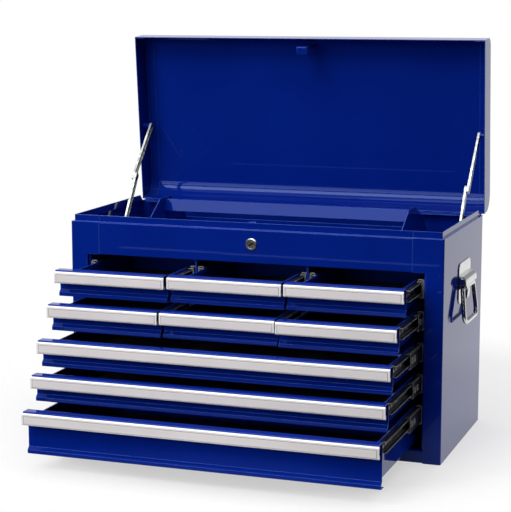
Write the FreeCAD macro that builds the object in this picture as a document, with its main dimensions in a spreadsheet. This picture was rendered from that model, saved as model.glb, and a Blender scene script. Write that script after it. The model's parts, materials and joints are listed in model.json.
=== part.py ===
import FreeCAD, Part
import math
import os

import Sketcher

# A steel tool chest: nine drawers on telescopic slides, a top compartment under a hinged lid,
# a lift-out tray, a lock in the front rail and a drop handle on each side.
# Millimetres. X is to the right, Y to the back, Z up. The origin is the centre of the underside.
# The chest stands with its lid up and each drawer part of the way out.

# Driving dimensions: name, size, what it is
DIMENSIONS = [
    ("case_width", 600, "outside of the two side panels"),
    ("case_depth", 280, "front of the stiles to the back panel"),
    ("case_height", 340, "underside to the ledge that the lid closes on"),
    ("sheet", 1.2, "sheet of the case and the lid"),
    ("case_bend", 2.5, "outside radius of the corner bends"),
    ("ledge", 4, "width of the ledge outside the rim"),
    ("rim_height", 10, "rim above the ledge"),
    ("rim_end", 6.7, "foot of the rim's end to the back"),
    ("rim_slant", 10.7, "lean of the rim's end"),
    ("stile_width", 27.3, "upright strip beside the drawers"),
    ("rail_margin", 47.5, "outside of the side panel to the front rail's seam"),
    ("seam", 0.4, "open seam between front rail and stile"),
    ("opening_top", 288.7, "underside of the front rail"),
    ("rail_return", 16, "lower flange of the front rail"),
    ("lap_reach", 30, "ear of the rail behind each stile"),
    ("base_flange", 20, "height of the base panel's front flange"),
    ("base_hem", 4.5, "hem along the top of the base flange"),
    ("weld_flange", 14, "flanges that the panels are welded by"),
    ("bay_margin", 31, "outside of the side panel to the face of the slide posts"),
    ("post_width", 30, "slide post, front to back"),
    ("post_setback", 6, "front of the stiles to the first post"),
    ("post_pitch", 224, "front post to rear post"),
    ("partition", 3, "partition between the small drawers"),
    ("partition_setback", 4, "front of the stiles to the partition"),
    ("partition_foot", 190, "lower edge of the partitions"),
    ("partition_flange", 20, "flanges of the partitions, overall"),
    ("first_pull_top", 280.8, "top edge of the first row's pulls"),
    ("row_pitch", 47.8, "one row of drawers to the next"),
    ("drawer_sheet", 1.0, "sheet of the drawers"),
    ("drawer_length", 250, "drawer face to drawer back"),
    ("drawer_bend", 1.6, "outside radius of the drawer's bends"),
    ("face_height", 40, "pull's top edge to the foot of the face"),
    ("deep_face_height", 64.5, "the same on the bottom drawer"),
    ("face_inset", 0.5, "face narrower than the pull, each side"),
    ("flange_rise", 2, "drawer's top flange above the pull"),
    ("lip_bulge", 4.5, "lip forward of the face"),
    ("lip_height", 9, "height of the lip"),
    ("side_drop", 5, "pull's top edge down to the drawer's sides"),
    ("back_drop", 9, "pull's top edge down to the drawer's back"),
    ("hem", 6, "folded top edge of the drawer's sides"),
    ("pull_height", 17.8, "height of the pull"),
    ("pull_reach", 20, "pull's front to the drawer's face"),
    ("pull_wall", 2.2, "wall of the pull"),
    ("pull_bevel", 1.4, "bevels along the pull"),
    ("pull_leg", 3.2, "pull's front to the leg that it clips on"),
    ("pull_hook", 5.5, "hook of the pull behind the leg"),
    ("opening_1", 105, "how far each drawer stands open"),
    ("opening_2", 99.5, ""),
    ("opening_3", 97, ""),
    ("opening_4", 131.5, ""),
    ("opening_5", 129, ""),
    ("opening_6", 134, ""),
    ("opening_7", 167, ""),
    ("opening_8", 189, ""),
    ("opening_9", 219, ""),
    ("slide_width", 12.6, "drawer side to post"),
    ("slide_drop", 17.3, "pull's top edge to the middle of the slide"),
    ("rail_height", 29, "cabinet member of a slide"),
    ("rail_sheet", 1.2, "sheet of the cabinet member"),
    ("rail_bend", 1.8, "bevelled bends of the cabinet member"),
    ("rail_lip", 9.7, "flanges of the cabinet member"),
    ("rail_start", 8, "front of the stiles to the cabinet member"),
    ("rail_length", 250, "cabinet member"),
    ("mid_height", 25, "intermediate member"),
    ("mid_sheet", 1.0, "sheet of the intermediate member"),
    ("mid_tip", 1.8, "drawer's side to the intermediate member's edge"),
    ("mid_hole", 2.5, "radius of the holes in the intermediate member"),
    ("mid_hole_start", 10, "front of the intermediate member to its first hole"),
    ("mid_hole_pitch", 15, "one hole to the next"),
    ("mid_start", 55, "front of the stiles to the closed intermediate member"),
    ("mid_float", 30, "how far the third row's members hang forward"),
    ("mid_length", 200, "intermediate member"),
    ("mid_share", 0.5, "travel of the intermediate member for the drawer's"),
    ("runner_height", 17, "drawer member"),
    ("runner_sheet", 1.2, "sheet of the drawer member"),
    ("runner_bend", 0.9, "bevelled bends of the drawer member"),
    ("runner_lip", 7.9, "flanges of the drawer member"),
    ("runner_start", 60, "pull's front to the drawer member"),
    ("runner_length", 205, "drawer member"),
    ("ball_gap", 2.1, "room for the outer balls"),
    ("web_gap", 1.0, "between the webs of the members"),
    ("lid_height", 45, "lid above the ledge"),
    ("lid_overhang", 1, "lid beyond the case, front and sides"),
    ("lid_front_bend", 14, "front edge of the lid"),
    ("lid_rear_bend", 28, "rear edge of the lid"),
    ("lid_seat", 0.4, "closed lid above the ledge"),
    ("lid_open", 84.78, "degrees that the lid stands open"),
    ("cap_flange", 17, "inner flange of the lid's end caps"),
    ("catch_width", 17, "lid catch"),
    ("catch_setback", 11.5, "front of the stiles to the catch"),
    ("catch_depth", 12, "tongue of the catch"),
    ("catch_level", 329, "underside of the closed catch"),
    ("guide_height", 12, "guide tab above the ledge"),
    ("guide_width", 17, "guide tab behind the rim"),
    ("guide_slant", 3, "how far the guide tab's ends lean in"),
    ("hinge_margin", 4, "outside of the side panel to the hinge's end"),
    ("hinge_leaf", 12, "leaf below and above the pin"),
    ("hinge_sheet", 1.2, "sheet of the hinge"),
    ("hinge_level", 337, "height of the pin"),
    ("knuckle_radius", 3.6, "outside of the knuckles"),
    ("knuckle_length", 16, "one knuckle"),
    ("knuckle_gap", 0.3, "between two knuckles"),
    ("pin_clearance", 0.08, "round the pins and pivots"),
    ("lock_centre", 1.5, "middle of the lock, from the centre"),
    ("lock_level", 317.5, "height of the lock"),
    ("lock_bezel", 9.6, "radius of the lock's front ring"),
    ("lock_body", 8.5, "radius of the barrel"),
    ("lock_plug_radius", 6.1, "plug that the key turns"),
    ("lock_depth", 22, "front of the rail to the barrel's end"),
    ("lock_proud", 1.8, "front ring before the rail"),
    ("lock_bevel", 1.3, "bevel round the front ring"),
    ("cam_setback", 24, "front of the rail to the cam"),
    ("cam_sheet", 1.5, "sheet of the cam"),
    ("cam_reach", 17, "axis of the lock to the underside of the nose"),
    ("key_slot", 4.3, "half length of the key slot"),
    ("key_slot_half_width", 0.9, "half width of the key slot"),
    ("key_slot_turn", 27, "degrees that the key slot is turned"),
    ("stay_upper_length", 110.8, "upper link between its pivots"),
    ("stay_lower_length", 101, "lower link between its pivots"),
    ("stay_width", 10, "width of the links"),
    ("stay_round", 4.9, "radius of the links' ends"),
    ("stay_tail", 7, "link beyond the elbow"),
    ("stay_sheet", 1.0, "sheet of the links"),
    ("stay_depth", 3.5, "turned-in edges of the links"),
    ("stay_margin", 14.4, "outside of the side panel to the inner face of the upper link"),
    ("stay_gap", 0.3, "between the two links"),
    ("stay_pin", 2.5, "radius of the pivots"),
    ("stay_head", 4.5, "radius of the rivet heads"),
    ("lid_pivot_setback", 155, "front of the stiles to the closed lid's pivot"),
    ("lid_pivot_level", 362, "height of the closed lid's pivot"),
    ("case_pivot_setback", 164.5, "front of the stiles to the case's pivot"),
    ("case_pivot_level", 303, "height of the case's pivot"),
    ("handle_setback", 141, "front of the stiles to the handle's middle"),
    ("handle_level", 250.5, "height of the bail's axis"),
    ("handle_plate_width", 82, "handle plate, front to back"),
    ("handle_plate_top", 37, "axis to the plate's upper edge"),
    ("handle_plate_foot", 25.5, "axis to the plate's lower edge"),
    ("handle_plate_sheet", 1.5, "sheet of the plate"),
    ("handle_plate_corner", 11, "corners of the plate"),
    ("hood_width", 80, "hood over the bail's bar"),
    ("hood_top", 18, "axis to the top of the hood"),
    ("hood_low", 3.9, "axis to the hood's open lower edge"),
    ("hood_depth", 12.4, "hood out from the side panel"),
    ("hood_bend", 10.4, "round of the hood"),
    ("hood_end_round", 3, "rounded ends of the hood"),
    ("barrel_radius", 5.2, "outside of the barrel that the bail turns in"),
    ("barrel_sink", 0.3, "barrel set into the plate"),
    ("barrel_width", 61, "barrel, front to back"),
    ("bail_wire", 3.6, "radius of the bail's bar"),
    ("bail_top_width", 77, "bail at its axis, between bar centres"),
    ("bail_foot_width", 90, "bail at its foot, between bar centres"),
    ("bail_drop", 53, "axis to the foot of the bail"),
    ("bail_bend", 12.5, "lower bends of the bail"),
    ("bail_shoulder", 7, "upper bends of the bail"),
    ("bail_split", 2, "gap between the ends of the bar"),
    ("bail_lean", 6, "degrees that the bail stands off"),
    ("tray_width", 420, "tray, outside of its gables"),
    ("tray_front", 76, "front of the stiles to the tray"),
    ("tray_depth", 186, "tray, front to back"),
    ("tray_height", 26, "walls of the tray"),
    ("tray_lift", 0.3, "tray above the compartment's floor"),
    ("tray_bend", 4, "lower bends of the tray"),
    ("gable_peak", 70, "gables above the tray's underside"),
    ("gable_flat_start", 148, "front of the stiles to the gables' flat top"),
    ("gable_flat", 40, "flat top of the gables"),
    ("gable_peak_bend", 6, "bends at the gables' flat top"),
    ("gable_shoulder_bend", 12, "bends at the gables' shoulders"),
    ("gable_shoulder", 45, "front slope's lower end above the underside"),
    ("gable_shoulder_setback", 108, "front of the stiles to the same point"),
    ("grip_setback", 166.5, "front of the stiles to the carrying handle"),
    ("grip_foot", 48, "handle's lower edge above the tray's underside"),
    ("grip_top", 67, "handle's top edge above the tray's underside"),
    ("grip_lean", 5, "lean of the handle's front"),
    ("grip_depth", 7, "top of the handle, front to back"),
    ("grip_return", 12, "folded rear edge of the handle"),
]


class Size:
    """A length with its value and the spreadsheet formula that it comes from."""

    def __init__(self, value, formula):
        self.value = float(value)
        self.formula = formula

    def __add__(self, other):
        other = as_size(other)
        return Size(self.value + other.value, f"({self.formula} + {other.formula})")

    def __sub__(self, other):
        other = as_size(other)
        return Size(self.value - other.value, f"({self.formula} - {other.formula})")

    def __mul__(self, other):
        other = as_size(other)
        return Size(self.value * other.value, f"({self.formula} * {other.formula})")

    def __truediv__(self, other):
        other = as_size(other)
        return Size(self.value / other.value, f"({self.formula} / {other.formula})")

    def __neg__(self):
        return Size(-self.value, f"(-1 * {self.formula})")

    def __radd__(self, other):
        return as_size(other) + self

    def __rsub__(self, other):
        return as_size(other) - self

    def __rmul__(self, other):
        return as_size(other) * self


def as_size(number):
    """Give a plain number the same form as a bound length."""
    if isinstance(number, Size):
        return number
    rounded = round(float(number), 9)
    return Size(rounded, f"({rounded:.12g})")


def make_sheet(doc):
    """Write the driving dimensions and return them by name."""
    sheet = doc.addObject("Spreadsheet::Sheet", "Sizes")
    sizes = {}
    for row, (alias, value, note) in enumerate(DIMENSIONS, start=1):
        sheet.set(f"A{row}", alias)
        sheet.set(f"B{row}", str(value))
        sheet.set(f"C{row}", note)
        sheet.setAlias(f"B{row}", alias)
        sizes[alias] = Size(value, f"Sizes.{alias}")
    doc.recompute()
    return sizes


doc = FreeCAD.newDocument("ToolChest")
s = make_sheet(doc)

# Places that several pieces share
half = s["case_width"] / 2
inner_half = half - s["sheet"]
front = -s["case_depth"] / 2
back = s["case_depth"] / 2
ledge_z = s["case_height"]
floor_under = s["opening_top"] + s["sheet"]
floor_top = floor_under + s["sheet"]
flange_y = back - s["sheet"]
hinge_y = back + s["knuckle_radius"]
hinge_z = s["hinge_level"]
hinge_length = s["case_width"] - 2 * s["hinge_margin"]
rail_width = s["case_width"] - 2 * s["rail_margin"]
stay_plane = half - s["stay_margin"]
bay_half = half - s["bay_margin"]
pin_radius = s["knuckle_radius"] - s["hinge_sheet"] - s["pin_clearance"]
bay_width = (2 * bay_half - 2 * s["partition"]) / 3
bay_pitch = bay_width + s["partition"]

EDGE_TOLERANCE = 0.01
PLANES = {"x": "YZ_Plane", "y": "XZ_Plane", "z": "XY_Plane"}
pieces = []


def new_body(label):
    """Start one piece of the chest."""
    body = doc.addObject("PartDesign::Body", label)
    body.Label = label
    body.AllowCompound = True
    pieces.append(body)
    return body


def new_sketch(body, axis, level):
    """Attach a sketch square to the axis, at the level along it."""
    sketch = body.newObject("Sketcher::SketchObject", f"{body.Name}_sketch")
    for plane in body.Origin.OriginFeatures:
        if plane.Role == PLANES[axis]:
            sketch.AttachmentSupport = [(plane, "")]
    sketch.MapMode = "FlatFace"
    # The normal of the XZ plane points to the front
    offset = -as_size(level) if axis == "y" else as_size(level)
    sketch.setExpression(".AttachmentOffset.Base.z", offset.formula)
    return sketch


def corner_path(points, closed=True):
    """Turn corners, each with an optional radius, into joints with lines and arcs between."""
    corners = []
    for point in points:
        radius = as_size(point[2]) if len(point) > 2 else None
        corners.append((as_size(point[0]), as_size(point[1]), radius))
    joints = []
    count = len(corners)
    for index, (a, b, radius) in enumerate(corners):
        end_point = not closed and index in (0, count - 1)
        if radius is None or radius.value <= 0 or end_point:
            joints.append((a, b, None, None))
            continue
        before = corners[index - 1]
        after = corners[(index + 1) % count]
        inward = unit(a.value - before[0].value, b.value - before[1].value)
        outward = unit(after[0].value - a.value, after[1].value - b.value)
        angle = math.acos(max(-1.0, min(1.0, inward[0] * outward[0] + inward[1] * outward[1])))
        reach = radius * math.tan(angle / 2)
        bisector = unit(outward[0] - inward[0], outward[1] - inward[1])
        depth = radius.value * (1 / math.cos(angle / 2) - 1)
        middle = (a.value + bisector[0] * depth, b.value + bisector[1] * depth)
        joints.append((a - inward[0] * reach, b - inward[1] * reach, middle, radius))
        joints.append((a + outward[0] * reach, b + outward[1] * reach, None, None))
    return joints


def unit(a, b):
    """Direction of a vector in the sketch."""
    length = math.hypot(a, b)
    return (a / length, b / length)


def draw_path(sketch, points, closed=True):
    """Draw an outline in a sketch and bind each of its joints to the sheet."""
    joints = corner_path(points, closed)
    first = sketch.GeometryCount
    vectors = [FreeCAD.Vector(a.value, b.value, 0) for a, b, middle, radius in joints]
    steps = len(joints) if closed else len(joints) - 1
    geometry = []
    for index in range(steps):
        start = vectors[index]
        end = vectors[(index + 1) % len(joints)]
        middle = joints[index][2]
        if middle is None:
            geometry.append(Part.LineSegment(start, end))
        else:
            geometry.append(Part.Arc(start, FreeCAD.Vector(middle[0], middle[1], 0), end))
    sketch.addGeometry(geometry, False)
    constraints = []
    bound = []
    for index, (a, b, middle, radius) in enumerate(joints):
        segment = first + min(index, steps - 1)
        end = point_position(sketch, segment, vectors[index])
        for value, name, axis_line in ((a, "DistanceX", -2), (b, "DistanceY", -1)):
            if abs(value.value) < 1e-9:
                constraints.append(Sketcher.Constraint("PointOnObject", segment, end, axis_line))
                bound.append(None)
            else:
                constraints.append(Sketcher.Constraint(name, -1, 1, segment, end, value.value))
                bound.append(value.formula)
        if index > 0 or closed:
            previous = first + (index - 1) % steps if closed else first + index - 1
            if previous != segment:
                other = point_position(sketch, previous, vectors[index])
                constraints.append(Sketcher.Constraint("Coincident", previous, other, segment, end))
                bound.append(None)
        if radius is not None:
            constraints.append(Sketcher.Constraint("Radius", segment, radius.value))
            bound.append(radius.formula)
    add_bound(sketch, constraints, bound)


def draw_circle(sketch, a, b, radius):
    """Draw a circle bound to the sheet."""
    a, b, radius = as_size(a), as_size(b), as_size(radius)
    centre = FreeCAD.Vector(a.value, b.value, 0)
    circle = sketch.addGeometry(Part.Circle(centre, FreeCAD.Vector(0, 0, 1), radius.value), False)
    constraints = [Sketcher.Constraint("Radius", circle, radius.value)]
    bound = [radius.formula]
    for value, name, axis_line in ((a, "DistanceX", -2), (b, "DistanceY", -1)):
        if abs(value.value) < 1e-9:
            constraints.append(Sketcher.Constraint("PointOnObject", circle, 3, axis_line))
            bound.append(None)
        else:
            constraints.append(Sketcher.Constraint(name, -1, 1, circle, 3, value.value))
            bound.append(value.formula)
    add_bound(sketch, constraints, bound)


def point_position(sketch, segment, vector):
    """Tell which end of a segment lies at a point."""
    return 1 if (sketch.getPoint(segment, 1) - vector).Length < 1e-6 else 2


def add_bound(sketch, constraints, bound):
    """Add constraints and bind those that have a formula."""
    first = sketch.ConstraintCount
    sketch.addConstraint(constraints)
    for index, formula in enumerate(bound):
        if formula is not None:
            sketch.setExpression(f"Constraints[{first + index}]", formula)


def draw(sketch, outlines):
    """Draw outlines: a list of corners, or a circle as its centre and radius."""
    for outline in outlines:
        if isinstance(outline, tuple):
            draw_circle(sketch, *outline)
        else:
            draw_path(sketch, outline)


def add(body, axis, low, high, *outlines):
    """Add a prism with these outlines, from low to high along the axis."""
    low, high = as_size(low), as_size(high)
    sketch = new_sketch(body, axis, high if axis == "y" else low)
    draw(sketch, outlines)
    pad = body.newObject("PartDesign::Pad", f"{body.Name}_pad")
    pad.Profile = sketch
    pad.setExpression("Length", (high - low).formula)
    pad.Length = high.value - low.value
    pad.Refine = False
    body.Tip = pad
    return pad


def cut(body, axis, low, high, *outlines):
    """Cut a prism with these outlines, from low to high along the axis."""
    low, high = as_size(low), as_size(high)
    doc.recompute()
    before = body.Shape.Volume
    sketch = new_sketch(body, axis, low if axis == "y" else high)
    draw(sketch, outlines)
    pocket = body.newObject("PartDesign::Pocket", f"{body.Name}_pocket")
    pocket.Profile = sketch
    pocket.setExpression("Length", (high - low).formula)
    pocket.Length = high.value - low.value
    pocket.Refine = False
    body.Tip = pocket
    doc.recompute()
    if body.Shape.Volume > before - 1e-3:
        raise RuntimeError(f"{body.Label}: a pocket cuts nothing")
    return pocket


def block(a_low, a_high, b_low, b_high, radius=None):
    """Corners of a rectangle."""
    corners = [(a_low, b_low), (a_high, b_low), (a_high, b_high), (a_low, b_high)]
    if radius is None:
        return corners
    return [corner + (radius,) for corner in corners]


def soften(body, kind, size, chosen):
    """Round or bevel the chosen edges of a piece."""
    doc.recompute()
    shaped = body.Tip
    names = [f"Edge{index}" for index, edge in enumerate(shaped.Shape.Edges, start=1) if chosen(edge)]
    feature = body.newObject(f"PartDesign::{kind}", f"{body.Name}_{kind.lower()}")
    feature.Base = (shaped, names)
    name = "Radius" if kind == "Fillet" else "Size"
    setattr(feature, name, size.value)
    feature.setExpression(name, size.formula)
    body.Tip = feature


def across(side, inner, outer):
    """Low and high end of a span from inner to outer, on one side of the chest."""
    if side > 0:
        return inner, outer
    return -outer, -inner


def folded(path, thickness, right=True):
    """Outline of a sheet folded along a path of corners; the sheet lies on one side of it."""
    side = 1 if right else -1
    corners = [(as_size(p[0]), as_size(p[1]), as_size(p[2]) if len(p) > 2 else None) for p in path]
    directions = []
    for start, end in zip(corners, corners[1:]):
        directions.append(unit(end[0].value - start[0].value, end[1].value - start[1].value))
    normals = [(side * d[1], -side * d[0]) for d in directions]
    inner = []
    for index, (a, b, radius) in enumerate(corners):
        before = normals[max(index - 1, 0)]
        after = normals[min(index, len(normals) - 1)]
        share = 1 + before[0] * after[0] + before[1] * after[1]
        shift = ((before[0] + after[0]) / share, (before[1] + after[1]) / share)
        point = (a + thickness * shift[0], b + thickness * shift[1])
        if radius is not None:
            point = point + (other_radius(index, directions, radius, thickness, side),)
        inner.append(point)
    outer = [(a, b) if radius is None else (a, b, radius) for a, b, radius in corners]
    return outer + inner[::-1]


def other_radius(index, directions, radius, thickness, side):
    """Radius of a bend on the sheet's other face."""
    before, after = directions[index - 1], directions[index]
    turns_left = before[0] * after[1] - before[1] * after[0] > 0
    if turns_left == (side > 0):
        return radius + thickness
    return radius - thickness


def place(body, x, y, z):
    """Set the piece's own origin in the chest."""
    for name, value in (("x", x), ("y", y), ("z", z)):
        value = as_size(value)
        setattr(body.Placement.Base, name, value.value)
        body.setExpression(f".Placement.Base.{name}", value.formula)


def turn(body, axis, angle):
    """Turn the piece about one axis through its own origin."""
    angle = as_size(angle)
    body.Placement.Rotation = FreeCAD.Rotation(axis, angle.value)
    body.setExpression(".Placement.Rotation.Angle", angle.formula)


# Case
def side_panel(label, side):
    """Side of the case with its stile, ledge, rim and weld flanges, bent from one sheet."""
    body = new_body(label)
    sheet = s["sheet"]
    bend = s["case_bend"]
    stile_edge = half - s["stile_width"]
    seam_x = rail_width / 2
    rim_x = half - s["ledge"]
    rim_y = front + s["ledge"]
    plan = folded([(side * (half - s["weld_flange"]), flange_y),
                   (side * half, flange_y, bend),
                   (side * half, front, bend),
                   (side * stile_edge, front)], sheet, right=side > 0)
    add(body, "z", 0, ledge_z, plan)
    add(body, "y", front, front + sheet,
        block(side * seam_x, side * (stile_edge + sheet), s["opening_top"], ledge_z))
    ledge = folded([(side * seam_x, front),
                    (side * half, front, bend),
                    (side * half, flange_y)], s["ledge"] + sheet, right=side < 0)
    add(body, "z", ledge_z - sheet, ledge_z, ledge)
    rim = folded([(side * seam_x, rim_y),
                  (side * rim_x, rim_y, bend),
                  (side * rim_x, back - s["rim_end"])], sheet, right=side < 0)
    add(body, "z", ledge_z - sheet, ledge_z + s["rim_height"], rim)
    add(body, "z", sheet, 2 * sheet,
        block(side * (inner_half - s["weld_flange"]), side * (inner_half + sheet / 2),
              front + s["post_setback"], flange_y - 2 * sheet))
    add_stay_stud(body, side, behind_front(s["case_pivot_setback"]), s["case_pivot_level"],
                  inner_half, stay_lower_plane())
    rim_end_y = back - s["rim_end"]
    cut(body, "x", *across(side, rim_x - 2 * sheet, rim_x + sheet),
        [(rim_end_y - s["rim_slant"], ledge_z + s["rim_height"] + sheet),
         (rim_end_y - s["rim_slant"], ledge_z + s["rim_height"]),
         (rim_end_y, ledge_z),
         (rim_end_y + sheet, ledge_z),
         (rim_end_y + sheet, ledge_z + s["rim_height"] + sheet)])


def behind_front(setback):
    """Depth of a place that is measured from the front of the stiles."""
    return front + setback


def stay_lower_plane():
    """Inner face of the lower links."""
    return stay_plane - s["stay_gap"] - s["stay_depth"]


def add_stay_stud(body, side, y, z, wall, reach):
    """Pivot stud that stands inward from a wall, with a shoulder behind the link."""
    shoulder = reach + s["stay_depth"] + s["stay_gap"]
    add(body, "x", *across(side, shoulder, wall), (y, z, s["stay_head"]))
    add(body, "x", *across(side, reach, shoulder), (y, z, s["stay_pin"]))


def back_panel():
    """Back of the case, over the flanges of the sides."""
    body = new_body("back_panel")
    sheet = s["sheet"]
    reach = half - s["case_bend"]
    add(body, "y", flange_y, back, block(-reach, reach, 0, ledge_z))
    inside = half - s["weld_flange"] - sheet / 2
    add(body, "z", ledge_z - sheet, ledge_z,
        block(-inside, inside, flange_y - s["weld_flange"], flange_y))


def base_panel():
    """Floor of the case with its front flange, hemmed back along the top."""
    body = new_body("base_panel")
    sheet = s["sheet"]
    reach = half - s["case_bend"]
    behind = front + sheet
    rear = flange_y - sheet
    add(body, "x", -reach, reach,
        folded([(behind + s["base_hem"], s["base_flange"]),
                (behind, s["base_flange"], s["case_bend"]),
                (behind, 0, s["case_bend"]),
                (rear, 0)], sheet, right=False))
    inside = half - s["weld_flange"] - sheet / 2
    add(body, "y", rear, flange_y, block(-inside, inside, 0, s["weld_flange"]))


def front_rail():
    """Rail over the drawers: lower return, face, ledge and rim, with ears behind the stiles."""
    body = new_body("front_rail")
    sheet = s["sheet"]
    reach = rail_width / 2 - s["seam"]
    add(body, "x", -reach, reach,
        folded([(front + s["rail_return"], s["opening_top"]),
                (front, s["opening_top"], s["drawer_bend"]),
                (front, ledge_z, s["drawer_bend"]),
                (front + s["ledge"], ledge_z),
                (front + s["ledge"], ledge_z + s["rim_height"])], sheet))
    ear_low = floor_top + sheet
    ear_high = ledge_z - 3 * sheet
    for side in (-1, 1):
        add(body, "y", front + sheet, front + 2 * sheet,
            block(side * (reach - s["lap_reach"] / 2), side * (reach + s["lap_reach"] / 2),
                  ear_low, ear_high))
    guide_half = s["guide_width"] / 2
    guide_y = front + s["ledge"] + sheet
    top = ledge_z + s["guide_height"]
    add(body, "y", guide_y, guide_y + sheet,
        [(s["lock_centre"] - guide_half, ledge_z),
         (s["lock_centre"] + guide_half, ledge_z),
         (s["lock_centre"] + guide_half - s["guide_slant"], top),
         (s["lock_centre"] - guide_half + s["guide_slant"], top)])
    cut(body, "y", front - sheet, front + 3 * sheet,
        (s["lock_centre"], s["lock_level"], s["lock_body"] + s["pin_clearance"]))


def till_floor():
    """Floor of the top compartment."""
    body = new_body("till_floor")
    add(body, "z", floor_under, floor_top,
        block(-inner_half, inner_half, front + 2 * s["sheet"], flange_y - s["sheet"], 2 * s["case_bend"]))


def drawer_partitions():
    """Two partitions between the small drawers, flanged to the back, notched round the rail."""
    body = new_body("drawer_partitions")
    sheet = s["sheet"]
    flange = s["partition_flange"] / 2
    wall = s["partition"] / 2
    for side in (-1, 1):
        middle = side * bay_pitch / 2
        add(body, "z", s["partition_foot"], floor_under,
            [(middle - wall, front + s["partition_setback"]),
             (middle + wall, front + s["partition_setback"]),
             (middle + wall, flange_y - sheet),
             (middle + flange, flange_y - sheet),
             (middle + flange, flange_y),
             (middle - flange, flange_y),
             (middle - flange, flange_y - sheet),
             (middle - wall, flange_y - sheet)])
    reach = bay_pitch / 2 + s["partition"]
    cut(body, "x", -reach, reach,
        block(front, front + s["rail_return"], s["opening_top"], floor_top))


def slide_posts():
    """Four channel posts that carry the slides."""
    body = new_body("slide_posts")
    for side in (-1, 1):
        for step in (0, 1):
            start = front + s["post_setback"] + step * s["post_pitch"]
            end = start + s["post_width"]
            add(body, "z", 2 * s["sheet"], floor_under,
                folded([(side * inner_half, start),
                        (side * bay_half, start, s["drawer_bend"]),
                        (side * bay_half, end, s["drawer_bend"]),
                        (side * inner_half, end)], s["sheet"], right=side > 0))


# Drawers
def row_pull_top(row):
    """Height of the pull's top edge in a row."""
    return s["first_pull_top"] - (row - 1) * s["row_pitch"]


DEEP_ROW = 5
HANGING_ROW = 3
DRAWERS = []
for small_row in (1, 2):
    for column in (-1, 0, 1):
        DRAWERS.append((len(DRAWERS) + 1, small_row, column))
for wide_row in (HANGING_ROW, HANGING_ROW + 1, DEEP_ROW):
    DRAWERS.append((len(DRAWERS) + 1, wide_row, None))


def drawer_place(column):
    """Middle of a drawer and the width of its bay."""
    if column is None:
        return as_size(0), 2 * bay_half
    return column * bay_pitch, bay_width


def drawer_box(number, row, column):
    """Drawer: formed front with flange and lip, floor and hemmed sides, back."""
    body = new_body(f"drawer_{number}_box")
    width = drawer_place(column)[1]
    height = s["deep_face_height"] if row == DEEP_ROW else s["face_height"]
    sheet = s["drawer_sheet"]
    bend = s["drawer_bend"]
    face = s["pull_reach"]
    box_half = width / 2 - s["slide_width"]
    face_half = width / 2 - s["face_inset"]
    lip_back = face + sheet - s["lip_bulge"]
    foot = -height + sheet
    front_path = [(s["pull_leg"], s["pull_wall"] - s["pull_height"]),
                  (s["pull_leg"], s["flange_rise"], bend),
                  (face + sheet, s["flange_rise"], bend),
                  (face + sheet, foot + s["lip_height"]),
                  (lip_back, foot + s["lip_height"] - s["lip_bulge"]),
                  (lip_back, foot, sheet / 2),
                  (face + s["lip_height"], foot)]
    add(body, "x", -face_half, face_half, folded(front_path, sheet))
    rear = face + s["drawer_length"]
    section = []
    for side in (-1, 1):
        outer = side * box_half
        inner = side * (box_half - sheet)
        hem = side * (box_half - 2 * sheet)
        wall = [(outer, foot, bend), (outer, -s["side_drop"]), (hem, -s["side_drop"]),
                (hem, -s["side_drop"] - s["hem"]), (inner, -s["side_drop"] - s["hem"]),
                (inner, foot + sheet, bend - sheet)]
        section += wall if side > 0 else wall[::-1]
    add(body, "y", face + sheet, rear, section)
    add(body, "y", rear - sheet, rear,
        block(-box_half + sheet / 2, box_half - sheet / 2, foot + bend, -s["back_drop"]))
    place_drawer(body, number, row, column)


def place_drawer(body, number, row, column):
    """Stand a piece of a drawer where the drawer is open."""
    middle = drawer_place(column)[0]
    place(body, middle, front - s["pull_reach"] - s[f"opening_{number}"], row_pull_top(row))


def drawer_pull(number, row, column):
    """Extruded pull that clips over the leg of the drawer's flange."""
    body = new_body(f"drawer_{number}_pull")
    width = drawer_place(column)[1]
    wall = s["pull_wall"]
    bevel = s["pull_bevel"]
    foot = -s["pull_height"]
    leg_back = s["pull_leg"] + s["drawer_sheet"]
    hook_back = leg_back + wall / 2
    add(body, "x", -width / 2, width / 2,
        [(0, -bevel), (bevel, 0), (s["pull_leg"], 0), (s["pull_leg"], -wall), (wall, -2 * wall),
         (wall, foot + 2 * wall), (s["pull_leg"], foot + wall), (leg_back, foot + wall),
         (leg_back, foot + s["pull_hook"]), (hook_back, foot + s["pull_hook"]),
         (hook_back, foot + bevel), (hook_back - bevel / 2, foot), (bevel, foot), (0, foot + bevel)])
    place_drawer(body, number, row, column)


# Slides, in section: u runs from the drawer's side to the post, v up from the middle
def mirror_section(upper):
    """Complete a slide's path below its middle."""
    return upper + [(u, -v) for u, v in upper[::-1]]


def rail_section():
    """Cabinet member: a channel whose edges turn in round the outer balls."""
    top = s["rail_height"] / 2
    post = s["slide_width"]
    chamfer = s["rail_bend"]
    tip = post - s["rail_lip"]
    return mirror_section([(tip, top - chamfer), (tip + chamfer, top),
                           (post - chamfer, top), (post, top - chamfer)]), s["rail_sheet"]


def mid_section():
    """Intermediate member: ridged at the web, with a race on each side of its flanges."""
    top = s["mid_height"] / 2
    web = s["slide_width"] - s["rail_sheet"] - s["web_gap"]
    race = s["rail_height"] / 2 - s["rail_sheet"] - s["ball_gap"]
    chamfer = s["mid_sheet"]
    tip = s["mid_tip"]
    step = top - race
    upper = [(tip, race - chamfer), (tip + chamfer, race), (web - 2 * chamfer - step, race),
             (web - 2 * chamfer, top), (web - chamfer, top), (web, top - chamfer)]
    return mirror_section(upper), s["mid_sheet"]


def runner_section():
    """Drawer member: a channel that runs on the inner balls."""
    top = s["runner_height"] / 2
    chamfer = s["runner_bend"]
    tip = s["runner_lip"]
    return mirror_section([(tip, top - chamfer), (tip - chamfer, top),
                           (chamfer, top), (0, top - chamfer)]), s["runner_sheet"]


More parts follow.
